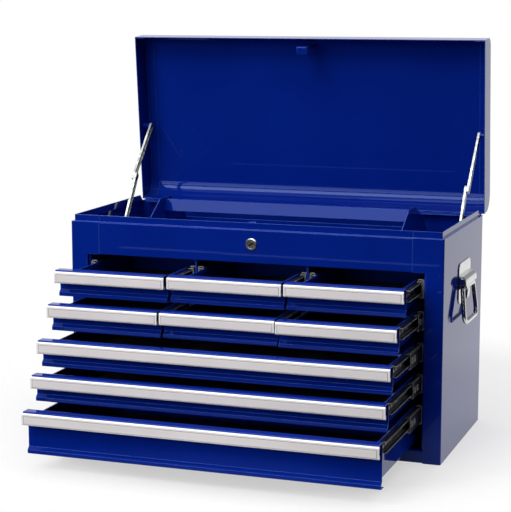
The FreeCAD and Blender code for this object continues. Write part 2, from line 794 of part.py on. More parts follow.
def slide_outlines(section, column, middle, level, right=True):
    """Place a slide's section on both sides of a drawer."""
    path, thickness = section
    drawer_side = drawer_place(column)[1] / 2 - s["slide_width"]
    outlines = []
    for side in (-1, 1):
        placed = [(middle + side * (drawer_side + u), level + v) for u, v in path]
        outlines.append(folded(placed, thickness, right=right == (side > 0)))
    return outlines


def drawer_runners(number, row, column):
    """Drawer members of one drawer's two slides."""
    body = new_body(f"drawer_{number}_slides")
    add(body, "y", s["runner_start"], s["runner_start"] + s["runner_length"],
        *slide_outlines(runner_section(), column, 0, -s["slide_drop"], right=False))
    place_drawer(body, number, row, column)


def drawer_mids(number, row, column):
    """Intermediate members of one drawer's two slides, with two holes near the front."""
    body = new_body(f"drawer_{number}_slide_mids")
    middle, width = drawer_place(column)
    add(body, "y", 0, s["mid_length"], *slide_outlines(mid_section(), column, 0, 0))
    first_hole = s["mid_hole_start"]
    cut(body, "x", -width / 2, width / 2,
        (first_hole, 0, s["mid_hole"]), (first_hole + s["mid_hole_pitch"], 0, s["mid_hole"]))
    start = s["mid_start"]
    if row == HANGING_ROW:
        start = start - s["mid_float"]
    place(body, middle, front + start - s["mid_share"] * s[f"opening_{number}"],
          row_pull_top(row) - s["slide_drop"])


def fixed_rails():
    """Cabinet members of all slides, on the posts and the partitions."""
    body = new_body("slide_rails_fixed")
    start = front + s["rail_start"]
    for _, row, column in DRAWERS:
        level = row_pull_top(row) - s["slide_drop"]
        add(body, "y", start, start + s["rail_length"],
            *slide_outlines(rail_section(), column, drawer_place(column)[0], level))


# Lid, modelled closed about the hinge's axis and then turned open
def lid_y(y):
    """Depth of a place on the closed lid, from the hinge."""
    return y - hinge_y


def lid_z(z):
    """Height of a place on the closed lid, from the hinge."""
    return z - hinge_z


lid_top = ledge_z + s["lid_height"]
lid_front = front - s["lid_overhang"]
lid_half = half + s["lid_overhang"]
rear_edge = ledge_z + s["lid_overhang"]


def place_on_lid(body):
    """Open the lid about its hinge."""
    turn(body, FreeCAD.Vector(1, 0, 0), -s["lid_open"])
    place(body, 0, hinge_y, hinge_z)


def lid_path(inset=0):
    """Section of the lid, from the front lip over the top to the rear edge."""
    return [(lid_y(lid_front) + inset, lid_z(ledge_z + s["lid_seat"])),
            (lid_y(lid_front) + inset, lid_z(lid_top) - inset, s["lid_front_bend"] - inset),
            (lid_y(back) - inset, lid_z(lid_top) - inset, s["lid_rear_bend"] - inset),
            (lid_y(back) - inset, lid_z(rear_edge))]


def lid_shell():
    """Front lip, top and rear wall of the lid, bent from one sheet."""
    body = new_body("lid_shell")
    add(body, "x", -lid_half, lid_half, folded(lid_path(), s["sheet"]))
    place_on_lid(body)


def lid_ends():
    """End caps inside the shell, flanged all round, each with the pivot of a stay."""
    body = new_body("lid_ends")
    sheet = s["sheet"]
    for side in (-1, 1):
        add(body, "x", *across(side, lid_half - sheet, lid_half), lid_path(sheet))
        add(body, "x", *across(side, lid_half - s["cap_flange"], lid_half - sheet),
            folded(lid_path(sheet), sheet))
        add_stay_stud(body, side, lid_y(behind_front(s["lid_pivot_setback"])),
                      lid_z(s["lid_pivot_level"]), lid_half - sheet, stay_plane)
    place_on_lid(body)


def lid_catch():
    """Hook that hangs from the lid and that the lock's cam holds down."""
    body = new_body("lid_catch")
    sheet = s["sheet"]
    leg = behind_front(s["catch_setback"])
    reach = s["catch_width"] / 2
    add(body, "x", -reach, reach,
        folded([(lid_y(leg + s["catch_depth"]), lid_z(lid_top) - sheet),
                (lid_y(leg), lid_z(lid_top) - sheet, s["drawer_bend"]),
                (lid_y(leg), lid_z(s["catch_level"]), s["drawer_bend"]),
                (lid_y(leg + s["catch_depth"]), lid_z(s["catch_level"]))], sheet, right=False))
    place_on_lid(body)


# Hinge
def knuckle_notches(phase):
    """Spans along the hinge where the other leaf's knuckles stand."""
    pitch = 2 * s["knuckle_length"]
    count = int(hinge_length.value // s["knuckle_length"].value)
    spans = []
    for index in range(count + 1):
        if index % 2 != phase:
            continue
        start = -hinge_length / 2 + (index / 2) * pitch - s["knuckle_gap"] / 2
        end = start + s["knuckle_length"] + s["knuckle_gap"]
        if start.value < hinge_length.value / 2:
            spans.append((start, end))
    return spans


def hinge_leaf(label, up, phase):
    """One leaf with its knuckles, about the axis of the pin."""
    body = new_body(label)
    outer = s["knuckle_radius"]
    bore = outer - s["hinge_sheet"]
    reach = hinge_length / 2
    add(body, "x", -reach, reach,
        block(-outer, -outer + s["hinge_sheet"], 0, up * s["hinge_leaf"]))
    add(body, "x", -reach, reach, (0, 0, outer), (0, 0, bore))
    root = outer + s["knuckle_gap"]
    for start, end in knuckle_notches(phase):
        cut(body, "x", start, end, block(-outer - root, outer + root, -up * (outer + root), up * root))
    return body


def hinge():
    """Both leaves and the pin that runs through them."""
    place(hinge_leaf("hinge_case_leaf", -1, 1), 0, hinge_y, hinge_z)
    place_on_lid(hinge_leaf("hinge_lid_leaf", 1, 0))
    body = new_body("hinge_pin")
    reach = hinge_length / 2
    add(body, "x", -reach, reach, (0, 0, pin_radius))
    place(body, 0, hinge_y, hinge_z)


# Lock
def key_slot():
    """Outline of the turned slot for the key."""
    turned = math.radians(s["key_slot_turn"].value)
    long_x, long_z = s["key_slot"] * math.cos(turned), s["key_slot"] * math.sin(turned)
    wide = s["key_slot_half_width"]
    wide_x, wide_z = wide * -math.sin(turned), wide * math.cos(turned)
    return [(wide_x - long_x, wide_z - long_z), (-long_x - wide_x, -long_z - wide_z),
            (long_x - wide_x, long_z - wide_z), (long_x + wide_x, long_z + wide_z)]


def on_front_ring(edge):
    """Tell whether an edge is the front ring's outer one."""
    at_front = abs(edge.CenterOfMass.y + s["lock_proud"].value) < EDGE_TOLERANCE
    return at_front and edge.Length > 2 * math.pi * s["lock_body"].value


def lock():
    """Barrel with its nut, and the plug with the cam that holds the catch."""
    barrel = new_body("lock_barrel")
    bore = s["lock_plug_radius"] + s["pin_clearance"]
    add(barrel, "y", -s["lock_proud"], 0, (0, 0, s["lock_bezel"]), (0, 0, bore))
    soften(barrel, "Chamfer", s["lock_bevel"], on_front_ring)
    add(barrel, "y", 0, s["lock_depth"], (0, 0, s["lock_body"]), (0, 0, bore))
    corner = s["lock_bezel"] + s["sheet"]
    hexagon = [(corner * math.cos(math.radians(60 * k)), corner * math.sin(math.radians(60 * k)))
               for k in range(6)]
    nut_bore = s["lock_body"] + s["pin_clearance"]
    add(barrel, "y", s["sheet"], 4 * s["sheet"], hexagon, (0, 0, nut_bore))
    place(barrel, s["lock_centre"], front, s["lock_level"])
    plug = new_body("lock_plug")
    add(plug, "y", -s["lock_proud"] / 2, s["cam_setback"], (0, 0, s["lock_plug_radius"]))
    cam_back = s["cam_setback"] + s["cam_sheet"]
    width = s["lock_plug_radius"]
    nose = s["cam_reach"] + s["cam_sheet"]
    add(plug, "y", s["cam_setback"], cam_back,
        [(-width, -width, width / 2), (nose, -width / 2), (nose, width / 2), (-width, width, width / 2)])
    add(plug, "y", s["cam_setback"] - s["lock_proud"] * 2, s["cam_setback"],
        block(s["cam_reach"], nose, -width / 2, width / 2))
    cut(plug, "y", -s["lock_proud"], s["lock_proud"], key_slot())
    place(plug, s["lock_centre"], front, s["lock_level"])


# Stays, each link modelled along its own line from its fixed pivot
def stay_elbow():
    """Elbow of the open stays, straight down from the lid's pivot by the two lengths."""
    pivot_y = lid_y(behind_front(s["lid_pivot_setback"])).value
    pivot_z = lid_z(s["lid_pivot_level"]).value
    angle = math.radians(-s["lid_open"].value)
    top_y = hinge_y.value + pivot_y * math.cos(angle) - pivot_z * math.sin(angle)
    top_z = hinge_z.value + pivot_y * math.sin(angle) + pivot_z * math.cos(angle)
    base_y = behind_front(s["case_pivot_setback"]).value
    base_z = s["case_pivot_level"].value
    span = math.hypot(top_y - base_y, top_z - base_z)
    upper = s["stay_upper_length"].value
    lower = s["stay_lower_length"].value
    along = (lower ** 2 - upper ** 2 + span ** 2) / (2 * span)
    aside = math.sqrt(max(lower ** 2 - along ** 2, 0))
    line = ((top_y - base_y) / span, (top_z - base_z) / span)
    elbow_y = base_y + line[0] * along - line[1] * aside
    elbow_z = base_z + line[1] * along + line[0] * aside
    return top_y, top_z, elbow_y, elbow_z


def stay_links(label, length, plane, start_y, start_z, elbow_y, elbow_z):
    """A pair of links with turned-in edges, one each side, each with a hole at its fixed pivot."""
    body = new_body(label)
    edge = s["stay_width"] / 2
    end = length + s["stay_tail"]
    wall = s["stay_sheet"]
    depth = s["stay_depth"]
    for side in (-1, 1):
        add(body, "x", *across(side, plane, plane + depth),
            block(-edge, end, -edge, edge, s["stay_round"]),
            (0, 0, s["stay_pin"] + s["pin_clearance"]))
        cut(body, "x", *across(side, plane, plane + depth - wall),
            block(wall - edge, end - wall, wall - edge, edge - wall, s["stay_round"] - wall))
    rise = elbow_z - as_size(start_z).value
    run = elbow_y - as_size(start_y).value
    turn(body, FreeCAD.Vector(1, 0, 0), math.degrees(math.atan2(rise, run)))
    place(body, 0, start_y, start_z)


def stays():
    """Folding stays that hold the lid up."""
    top_y, top_z, elbow_y, elbow_z = stay_elbow()
    stay_links("stays_upper", s["stay_upper_length"], stay_plane,
               top_y, top_z, elbow_y, elbow_z)
    stay_links("stays_lower", s["stay_lower_length"], stay_lower_plane(),
               behind_front(s["case_pivot_setback"]), s["case_pivot_level"], elbow_y, elbow_z)


# Drop handles
def handle_axis_x():
    """Distance of the bail's axis from the centre."""
    return half + s["handle_plate_sheet"] + s["barrel_radius"] - s["barrel_sink"]


def hood_outline(side, inset):
    """Section of the hood, or of the room inside it."""
    face = half + s["handle_plate_sheet"]
    out = half + s["hood_depth"] - inset
    low = s["handle_level"] + s["hood_low"] - inset
    top = s["handle_level"] + s["hood_top"] - inset
    bend = s["hood_bend"] - inset
    return [(side * face, low), (side * out, low), (side * out, top, bend), (side * face, top)]


def on_hood_end(edge, side):
    """Tell whether an edge runs round a hood's end, above its open lower edge."""
    centre = edge.CenterOfMass
    half_width = s["hood_width"].value / 2
    at_end = abs(abs(centre.y - behind_front(s["handle_setback"]).value) - half_width) < EDGE_TOLERANCE
    outside = side * centre.x > (half + s["handle_plate_sheet"]).value + EDGE_TOLERANCE
    above = centre.z > (s["handle_level"] + s["hood_low"]).value + EDGE_TOLERANCE
    return at_end and outside and above


def handle_plates():
    """Pressed plates, each with a hood closed at its ends and the barrel that the bail turns in."""
    body = new_body("handle_plates")
    sheet = s["handle_plate_sheet"]
    middle = behind_front(s["handle_setback"])
    level = s["handle_level"]
    width = s["handle_plate_width"] / 2
    hood = s["hood_width"] / 2
    barrel = s["barrel_width"] / 2
    for side in (-1, 1):
        add(body, "x", *across(side, half, half + sheet),
            block(middle - width, middle + width, level - s["handle_plate_foot"],
                  level + s["handle_plate_top"], s["handle_plate_corner"]))
        add(body, "y", middle - hood, middle + hood, hood_outline(side, 0))
        soften(body, "Fillet", s["hood_end_round"], lambda edge: on_hood_end(edge, side))
        cut(body, "y", middle - hood + sheet, middle + hood - sheet, hood_outline(side, sheet))
        add(body, "y", middle - barrel, middle + barrel,
            (side * handle_axis_x(), level, s["barrel_radius"]),
            (side * handle_axis_x(), level, s["bail_wire"] + s["pin_clearance"]))


def handle_bail(label, side):
    """Trapezoid bail of round bar whose ends meet under the hood."""
    body = new_body(label)
    top = s["bail_top_width"] / 2
    foot = s["bail_foot_width"] / 2
    split = s["bail_split"] / 2
    path = new_sketch(body, "x", 0)
    draw_path(path, [(split, 0), (top, 0, s["bail_shoulder"]), (foot, -s["bail_drop"], s["bail_bend"]),
                     (-foot, -s["bail_drop"], s["bail_bend"]), (-top, 0, s["bail_shoulder"]), (-split, 0)],
              closed=False)
    profile = new_sketch(body, "y", split)
    draw(profile, [(0, 0, s["bail_wire"])])
    bar = body.newObject("PartDesign::AdditivePipe", f"{label}_bar")
    bar.Profile = profile
    bar.Spine = path
    body.Tip = bar
    turn(body, FreeCAD.Vector(0, 1, 0), -side * s["bail_lean"])
    place(body, side * handle_axis_x(), behind_front(s["handle_setback"]), s["handle_level"])


# Carrying tray
def tote_tray():
    """Trough with two gables."""
    body = new_body("tote_tray")
    sheet = s["sheet"]
    reach = s["tray_width"] / 2
    y0 = behind_front(s["tray_front"])
    y1 = y0 + s["tray_depth"]
    add(body, "x", -reach + sheet, reach - sheet,
        folded([(y0, s["tray_height"]), (y0, 0, s["tray_bend"]), (y1, 0, s["tray_bend"]),
                (y1, s["tray_height"])], sheet, right=False))
    flat = behind_front(s["gable_flat_start"])
    shoulder = behind_front(s["gable_shoulder_setback"])
    gable = [(y0, 0, s["tray_bend"]), (y1, 0, s["tray_bend"]), (y1, s["tray_height"]),
             (y1 - (shoulder - y0) / 2, s["gable_shoulder"], s["gable_shoulder_bend"]),
             (flat + s["gable_flat"], s["gable_peak"], s["gable_peak_bend"]),
             (flat, s["gable_peak"], s["gable_peak_bend"]),
             (shoulder, s["gable_shoulder"], s["gable_shoulder_bend"]), (y0, s["tray_height"])]
    for side in (-1, 1):
        add(body, "x", *across(side, reach - sheet, reach), gable)
    place(body, 0, 0, floor_top + s["tray_lift"])


def tote_handle():
    """Folded strip between the gables that the tray is carried by."""
    body = new_body("tote_handle")
    reach = s["tray_width"] / 2 - s["sheet"]
    y0 = behind_front(s["grip_setback"])
    bend = s["drawer_bend"]
    add(body, "x", -reach, reach,
        folded([(y0, s["grip_foot"]), (y0 + s["grip_lean"], s["grip_top"], bend),
                (y0 + s["grip_lean"] + s["grip_depth"], s["grip_top"], bend),
                (y0 + s["grip_lean"] + s["grip_depth"], s["grip_top"] - s["grip_return"])], s["sheet"]))
    place(body, 0, 0, floor_top + s["tray_lift"])


def check_document():
    """Stop where an object has failed or a piece has no sound shape."""
    doc.recompute()
    for item in doc.Objects:
        if "Invalid" in item.State or "Error" in item.State:
            raise RuntimeError(f"{item.Label}: {item.State}")
    for body in pieces:
        if body.Shape.isNull() or not body.Shape.isValid():
            raise RuntimeError(f"{body.Label}: no sound shape")


side_panel("side_panel_left", -1)
side_panel("side_panel_right", 1)
back_panel()
base_panel()
front_rail()
till_floor()
drawer_partitions()
slide_posts()
for drawer in DRAWERS:
    drawer_box(*drawer)
    drawer_pull(*drawer)
    drawer_runners(*drawer)
    drawer_mids(*drawer)
fixed_rails()
lid_shell()
lid_ends()
lid_catch()
hinge()
lock()
stays()
handle_plates()
handle_bail("handle_bail_left", -1)
handle_bail("handle_bail_right", 1)
tote_tray()
tote_handle()
check_document()

os.makedirs("parts", exist_ok=True)
for body in pieces:
    body.Shape.exportStep(f"parts/{body.Label}.step")
    print(body.Label, "solids", len(body.Shape.Solids), "volume", round(body.Shape.Volume, 1))
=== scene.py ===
import json
import math

import bmesh
import bpy
from mathutils import Matrix, Vector


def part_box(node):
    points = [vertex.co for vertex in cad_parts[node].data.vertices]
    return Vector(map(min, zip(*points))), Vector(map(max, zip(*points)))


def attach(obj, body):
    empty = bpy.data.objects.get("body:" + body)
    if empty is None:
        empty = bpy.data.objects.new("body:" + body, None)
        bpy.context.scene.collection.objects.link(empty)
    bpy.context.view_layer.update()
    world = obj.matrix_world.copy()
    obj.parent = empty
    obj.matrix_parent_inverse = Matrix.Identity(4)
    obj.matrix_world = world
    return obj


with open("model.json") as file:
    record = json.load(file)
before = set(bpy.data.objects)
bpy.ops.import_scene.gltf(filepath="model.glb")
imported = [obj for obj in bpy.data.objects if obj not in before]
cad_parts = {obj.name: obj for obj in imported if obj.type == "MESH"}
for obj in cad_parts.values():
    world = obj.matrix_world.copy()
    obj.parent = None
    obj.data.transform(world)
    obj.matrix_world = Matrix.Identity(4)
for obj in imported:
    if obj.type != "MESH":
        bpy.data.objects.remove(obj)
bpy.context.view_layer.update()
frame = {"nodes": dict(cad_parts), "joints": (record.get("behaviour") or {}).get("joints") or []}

# Camera of the photograph: metres, degrees, pixels
CAMERA_PLACE = (0.8057, -2.4047, 0.6920)
CAMERA_DOWN = 9.267
CAMERA_YAW = 19.393
CAMERA_RANGE = (0.05, 50)
FOCAL_PIXELS = 1602.5
PHOTO_WIDTH = 511
SENSOR = 36.0

# Floor
FLOOR_RADIUS = 0.68
FLOOR_FADE = 0.48
FLOOR_BACK = 0.14
FLOOR_GLOW = 0.55
FLOOR_SIDES = 128

# World's white by direction: start and end of each change, and the darkest level
BACK_RISE = (0.0, 0.45)
BACK_FALL = (0.18, 0.36)
ABOVE_RISE = (0.45, 0.85)
FRONT_DARK = 0.02

# Soft lights: place, point looked at, size, watts
LIGHTS = {
    "top_light": ((0.2, 0.1, 2.6), (0, 0, 0.2), (2.6, 2.2), 32),
    "front_light": ((-0.9, -2.3, 2.5), (0, -0.1, 0.25), (1.6, 1.2), 48),
    "mid_strip": ((-0.85, -2.45, 1.25), (0, -0.1, 0.30), (2.4, 0.6), 19),
    "low_strip": ((-0.85, -2.45, 0.66), (0, -0.1, 0.30), (2.4, 0.5), 13),
}

# Drawers
DRAWERS = range(1, 10)
FACE_DEPTH = 0.021
DRAWER_SHEET = 0.001
DRAWER_HEM = 0.002
MAT_SHEET = 0.0018
MAT_MARGIN = 0.0015
STRIP_TOP = 0.0046
STRIP_FOOT = 0.0024
STRIP_END = 0.0034
STRIP_PROUD = 0.0004
GROOVE = 0.0008

# Slides: screws by setback and radius, eyelets by setback
RUNNER_LIP = 0.0079
RUNNER_SHEET = 0.0012
SCREWS = ((0.005, 0.0027), (0.018, 0.0022), (0.045, 0.0022))
SCREW_HEIGHT = 0.0008
EYELETS = (0.010, 0.025)
EYELET_RADIUS = 0.0046
EYELET_WIRE = 0.0004

# Lock: the slot's turn from level in degrees, and the plate of painted shade in the slot
SLOT_TURN = -27
SLOT_SHADE_LONG = 0.0084
SLOT_SHADE_WIDE = 0.0023
SLOT_SHADE_PROUD = 0.0002

# Stays
STAY_UPPER = 0.1108
STAY_LOWER = 0.1010
RIVET_RADIUS = 0.0036
RIVET_HEIGHT = 0.0012

# Bevel of a thin piece, as a share of its thickness
BEVEL_SHARE = 0.25


# Node trees
class Tree:
    """Short way to build a node tree."""

    def __init__(self, tree):
        self.tree = tree

    def add(self, kind, **settings):
        node = self.tree.nodes.new(kind)
        for key, value in settings.items():
            setattr(node, key, value)
        return node

    def link(self, source, target):
        self.tree.links.new(source, target)

    def part(self, source, axis):
        """One coordinate of a vector."""
        node = self.add("ShaderNodeSeparateXYZ")
        self.link(source, node.inputs["Vector"])
        return node.outputs[axis]

    def combine(self, operation, first, second):
        """Combine two values."""
        node = self.add("ShaderNodeMath", operation=operation)
        self.link(first, node.inputs[0])
        self.link(second, node.inputs[1])
        return node.outputs["Value"]

    def span(self, source, low, high, start=0.3, end=0.7, curve="LINEAR"):
        """Map a value from start..end to low..high."""
        node = self.add("ShaderNodeMapRange", interpolation_type=curve)
        node.inputs["From Min"].default_value = start
        node.inputs["From Max"].default_value = end
        node.inputs["To Min"].default_value = low
        node.inputs["To Max"].default_value = high
        self.link(source, node.inputs["Value"])
        return node.outputs["Result"]

    def rays(self):
        """One for camera rays, and one for rays off metal or through glass."""
        path = self.add("ShaderNodeLightPath").outputs
        mirrored = self.combine("MAXIMUM", path["Is Glossy Ray"], path["Is Transmission Ray"])
        return path["Is Camera Ray"], mirrored

    def mix_shaders(self, share, first, second):
        """Blend the first shader into the second."""
        node = self.add("ShaderNodeMixShader")
        self.link(share, node.inputs["Fac"])
        self.link(first, node.inputs[1])
        self.link(second, node.inputs[2])
        return node.outputs["Shader"]


class Nodes(Tree):
    """Short way to build one node material."""

    SOCKETS = {"metallic": "Metallic", "roughness": "Roughness", "specular": "Specular IOR Level",
               "tint": "Specular Tint"}
    MIX_COLOURS = (6, 7)
    MIX_RESULT = 2

    def __init__(self, name):
        self.material = bpy.data.materials.new(name)
        self.material.use_nodes = True
        super().__init__(self.material.node_tree)
        self.shader = self.tree.nodes["Principled BSDF"]
        self.place = self.add("ShaderNodeTexCoord").outputs["Object"]

    def stretched(self, scale):
        """Object coordinates, stretched."""
        mapping = self.add("ShaderNodeMapping")
        mapping.inputs["Scale"].default_value = scale
        self.link(self.place, mapping.inputs["Vector"])
        return mapping.outputs["Vector"]

    def noise(self, scale, detail=2.0, roughness=0.5, vector=None):
        node = self.add("ShaderNodeTexNoise")
        node.inputs["Scale"].default_value = scale
        node.inputs["Detail"].default_value = detail
        node.inputs["Roughness"].default_value = roughness
        self.link(vector or self.place, node.inputs["Vector"])
        return node.outputs["Fac"]

    def streaks(self, scale):
        """Noise drawn out by a different scale along each axis."""
        return self.noise(1.0, detail=3.0, roughness=0.6, vector=self.stretched(scale))

    def ramp(self, source, low, high, start=0.3, end=0.7):
        """Blend two colours by a value."""
        node = self.add("ShaderNodeValToRGB")
        for element, place, colour in zip(node.color_ramp.elements, (start, end), (low, high)):
            element.position = place
            element.color = (*colour, 1)
        self.link(source, node.inputs["Fac"])
        return node.outputs["Color"]

    def bump(self, height, distance, strength, normal=None):
        node = self.add("ShaderNodeBump")
        node.inputs["Distance"].default_value = distance
        node.inputs["Strength"].default_value = strength
        self.link(height, node.inputs["Height"])
        if normal is not None:
            self.link(normal, node.inputs["Normal"])
        return node.outputs["Normal"]

    def rounded(self, radius):
        """Normal that runs round the edges of a sheet."""
        node = self.add("ShaderNodeBevel", samples=4)
        node.inputs["Radius"].default_value = radius
        return node.outputs["Normal"]

    def edges(self, radius, start, end):
        """One along sharp edges and nothing on flat faces."""
        flat = self.add("ShaderNodeNewGeometry").outputs["Normal"]
        meet = self.add("ShaderNodeVectorMath", operation="DOT_PRODUCT")
        self.link(self.rounded(radius), meet.inputs[0])
        self.link(flat, meet.inputs[1])
        return self.span(meet.outputs["Value"], 0.0, 1.0, start, end)

    def facing(self, axis, start, end):
        """One on faces that look along an axis of the chest."""
        normal = self.add("ShaderNodeNewGeometry").outputs["Normal"]
        return self.span(self.part(normal, axis), 0.0, 1.0, start, end)

    def turned_inward(self):
        """One on faces that look towards the middle of the chest."""
        geometry = self.add("ShaderNodeNewGeometry").outputs
        outward = self.combine("MULTIPLY", self.part(geometry["Position"], "X"),
                               self.part(geometry["Normal"], "X"))
        return self.span(outward, 0.0, 1.0, start=-0.15, end=-0.25)

    def mix(self, share, first, second):
        """Blend the first colour into the second."""
        node = self.add("ShaderNodeMix", data_type="RGBA")
        self.link(share, node.inputs["Factor"])
        for colour, socket in zip((first, second), self.MIX_COLOURS):
            if isinstance(colour, tuple):
                node.inputs[socket].default_value = (*colour, 1)
            else:
                self.link(colour, node.inputs[socket])
        return node.outputs[self.MIX_RESULT]

    def set(self, **values):
        for key, value in values.items():
            self.shader.inputs[self.SOCKETS[key]].default_value = value

    def finish(self, colour, roughness, normal, **values):
        """Link the shader's main sockets, set its other values and give the material."""
        self.link(colour, self.shader.inputs["Base Color"])
        self.link(roughness, self.shader.inputs["Roughness"])
        self.link(normal, self.shader.inputs["Normal"])
        self.set(**values)
        return self.material


# Materials
def blue_paint():
    """Gloss blue powder coat with a faint orange peel, and a painted highlight in lighter blue over the
    folds.
    """
    m = Nodes("blue_paint")
    body = m.ramp(m.noise(7.0, detail=3.0), (0.0008, 0.0130, 0.198), (0.0013, 0.0165, 0.232))
    # Painted highlight: lighter blue along the folds and edges that the bevel mask finds.
    folds = m.edges(radius=0.0014, start=0.99, end=0.76)
    peel = m.noise(700.0, detail=1.0)
    return m.finish(m.mix(folds, body, (0.045, 0.120, 0.58)),
                    m.span(m.noise(60.0), 0.035, 0.060),
                    m.bump(peel, distance=0.00001, strength=0.25, normal=m.rounded(0.0012)),
                    specular=0.28, tint=(0.42, 0.58, 1.0, 1.0))


def satin_aluminium():
    """Satin anodised extrusion, brushed along its length."""
    m = Nodes("satin_aluminium")
    grain = m.streaks((5.0, 900.0, 900.0))
    return m.finish(m.ramp(m.noise(14.0), (0.84, 0.83, 0.83), (0.90, 0.89, 0.89)),
                    m.span(grain, 0.40, 0.55),
                    m.bump(grain, distance=0.00002, strength=0.25, normal=m.rounded(0.0005)),
                    metallic=0.25)


def label_strip():
    """Blank matt strip let into the pull's face."""
    m = Nodes("label_strip")
    grain = m.streaks((8.0, 500.0, 500.0))
    return m.finish(m.ramp(m.noise(9.0, detail=3.0), (0.690, 0.650, 0.655), (0.750, 0.710, 0.715)),
                    m.span(grain, 0.50, 0.65),
                    m.bump(grain, distance=0.00002, strength=0.2),
                    metallic=0.1, specular=0.4)


def groove_line():
    """Thin shaded line round the strip."""
    m = Nodes("groove_line")
    return m.finish(m.ramp(m.noise(60.0), (0.22, 0.20, 0.20), (0.32, 0.29, 0.29)),
                    m.span(m.noise(200.0), 0.6, 0.8),
                    m.bump(m.noise(400.0, detail=1.0), distance=0.00002, strength=0.3))


def dark_zinc():
    """Dark zinc of the slides, with painted highlights on the ends that face forward and along the
    edges.
    """
    m = Nodes("dark_zinc")
    grain = m.streaks((700.0, 9.0, 700.0))
    body = m.ramp(m.noise(30.0, detail=3.0), (0.004, 0.005, 0.009), (0.012, 0.013, 0.020))
    # Painted highlight: light grey along the edges.
    edge_highlight = m.edges(radius=0.0009, start=0.985, end=0.75)
    # Painted highlight: grey on the ends that face forward.
    front_end_highlight = m.facing("Y", start=-0.80, end=-0.95)
    lit = m.mix(front_end_highlight, body, (0.20, 0.20, 0.20))
    return m.finish(m.mix(edge_highlight, lit, (0.66, 0.66, 0.68)),
                    m.span(grain, 0.42, 0.58),
                    m.bump(grain, distance=0.00002, strength=0.3, normal=m.rounded(0.0005)),
                    specular=0.12)


def worn_zinc():
    """Rubbed zinc of the screw heads and of the rims round the slides' holes."""
    m = Nodes("worn_zinc")
    rub = m.noise(500.0, detail=3.0)
    return m.finish(m.ramp(rub, (0.16, 0.16, 0.17), (0.38, 0.38, 0.38)),
                    m.span(rub, 0.30, 0.48),
                    m.bump(rub, distance=0.00003, strength=0.3),
                    metallic=0.4)


def bright_zinc():
    """Bright plated strip of the lid stays, with streaked painted shade on the faces that look along X
    and near-black painted shade on the faces turned inward.
    """
    m = Nodes("bright_zinc")
    spangle = m.noise(120.0, detail=3.0)
    body = m.ramp(spangle, (0.42, 0.46, 0.44), (0.90, 0.92, 0.90), start=0.40, end=0.60)
    # Painted shade: darker streaks on the faces that look along X.
    side_shade = m.ramp(m.streaks((60.0, 90.0, 22.0)), (0.10, 0.13, 0.115), (0.52, 0.56, 0.53),
                   start=0.38, end=0.66)
    sides = m.mix(m.facing("X", start=0.75, end=0.92), body, side_shade)
    # Painted shade: near black on the faces turned inward, as in the hollow of the channel.
    return m.finish(m.mix(m.turned_inward(), sides, (0.022, 0.027, 0.025)),
                    m.span(m.noise(400.0), 0.25, 0.38),
                    m.bump(spangle, distance=0.00003, strength=0.2, normal=m.rounded(0.0005)),
                    metallic=0.6)


def chrome():
    """Polished chrome with faint buffing marks, and a painted dark reflection round the rims and on its
    upward-sloping shoulders.
    """
    m = Nodes("chrome")
    buff = m.streaks((500.0, 120.0, 500.0))
    body = m.ramp(m.noise(40.0), (0.52, 0.53, 0.53), (0.64, 0.65, 0.65))
    # Painted reflection: dark on the upward-sloping shoulders, with the plain body kept on faces that
    # look straight up.
    shoulder_reflection = m.mix(m.facing("Z", start=0.35, end=0.60), body, (0.050, 0.052, 0.060))
    reflected_shoulders = m.mix(m.facing("Z", start=0.86, end=0.97), shoulder_reflection, body)
    # Painted reflection: near black round the rims.
    rims = m.edges(radius=0.0016, start=0.985, end=0.70)
    return m.finish(m.mix(rims, reflected_shoulders, (0.020, 0.021, 0.026)),
                    m.span(buff, 0.04, 0.10),
                    m.bump(buff, distance=0.00001, strength=0.12, normal=m.rounded(0.0016)),
                    metallic=1.0)


def turned_chrome():
    """Chrome of the lock, turned on a lathe and a little worn, with a painted highlight on the faces
    that look up.
    """
    m = Nodes("turned_chrome")
    marks = m.noise(900.0)
    body = m.ramp(m.noise(160.0, detail=3.0), (0.16, 0.15, 0.15), (0.36, 0.345, 0.345))
    # Painted highlight: near white on the faces that look up.
    return m.finish(m.mix(m.facing("Z", start=0.12, end=0.45), body, (0.93, 0.93, 0.92)),
                    m.span(marks, 0.16, 0.30),
                    m.bump(marks, distance=0.00003, strength=0.3, normal=m.rounded(0.0008)),
                    metallic=0.93)


def key_slot_shade():
    """Painted shade of the key slot, as a dull black plate."""
    m = Nodes("key_slot_shade")
    shade_speckle = m.noise(700.0)
    return m.finish(m.ramp(shade_speckle, (0.0015, 0.0015, 0.002), (0.006, 0.006, 0.007)),
                    m.span(shade_speckle, 0.65, 0.85),
                    m.bump(shade_speckle, distance=0.00002, strength=0.2),
                    specular=0.08)


def black_mat():
    """Ribbed black mat of the drawers."""
    m = Nodes("black_mat")
    ribs = m.add("ShaderNodeTexWave", wave_type="BANDS", bands_direction="X")
    ribs.inputs["Scale"].default_value = 60.0
    m.link(m.place, ribs.inputs["Vector"])
    return m.finish(m.ramp(m.noise(35.0, detail=3.0), (0.024, 0.021, 0.027), (0.050, 0.045, 0.053)),
                    m.span(m.noise(300.0), 0.62, 0.80),
                    m.bump(ribs.outputs["Fac"], distance=0.0005, strength=0.6),
                    specular=0.25)


FINISHES = (blue_paint, satin_aluminium, label_strip, groove_line, dark_zinc, worn_zinc, bright_zinc,
            chrome, turned_chrome, key_slot_shade, black_mat)
FINISH = {make.__name__: make() for make in FINISHES}


